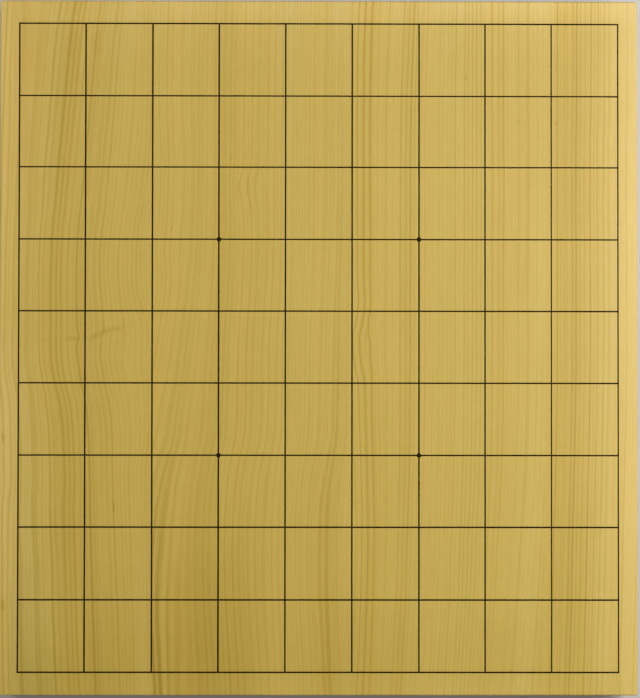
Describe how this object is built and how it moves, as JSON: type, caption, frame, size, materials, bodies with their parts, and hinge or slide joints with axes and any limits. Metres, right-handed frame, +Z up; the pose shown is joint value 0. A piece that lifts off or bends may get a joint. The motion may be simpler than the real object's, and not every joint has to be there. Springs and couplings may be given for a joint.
{
  "type": "tabletop shogi board",
  "caption": "Tabletop shogi board of edge-glued pale softwood staves, with a ruled playing field and star points in raised dark lacquer.",
  "frame": {"origin": "middle of the underside, on the surface that the board lies on", "axes": "+Z up out of the playing face; +Y along the grain, the long way of the squares, away from the near player; +X across the board to that player's right"},
  "size_m": [0.3346, 0.364, 0.0303],
  "materials": {
    "wood": "planed and waxed softwood, satin",
    "lacquer": "brown-black lacquer, dried with a soft gloss",
    "glue": "cured wood glue, seen only as a hairline"
  },
  "bodies": {
    "root": {"stave_left": "wood", "stave_middle": "wood", "stave_right": "wood", "glue_left": "glue", "glue_right": "glue", "file_line_1": "lacquer", "file_line_2": "lacquer", "file_line_3": "lacquer", "file_line_4": "lacquer", "file_line_5": "lacquer", "file_line_6": "lacquer", "file_line_7": "lacquer", "file_line_8": "lacquer", "file_line_9": "lacquer", "file_line_10": "lacquer", "rank_line_1": "lacquer", "rank_line_2": "lacquer", "rank_line_3": "lacquer", "rank_line_4": "lacquer", "rank_line_5": "lacquer", "rank_line_6": "lacquer", "rank_line_7": "lacquer", "rank_line_8": "lacquer", "rank_line_9": "lacquer", "rank_line_10": "lacquer", "star_point_1": "lacquer", "star_point_2": "lacquer", "star_point_3": "lacquer", "star_point_4": "lacquer"}
  },
  "joints": []
}
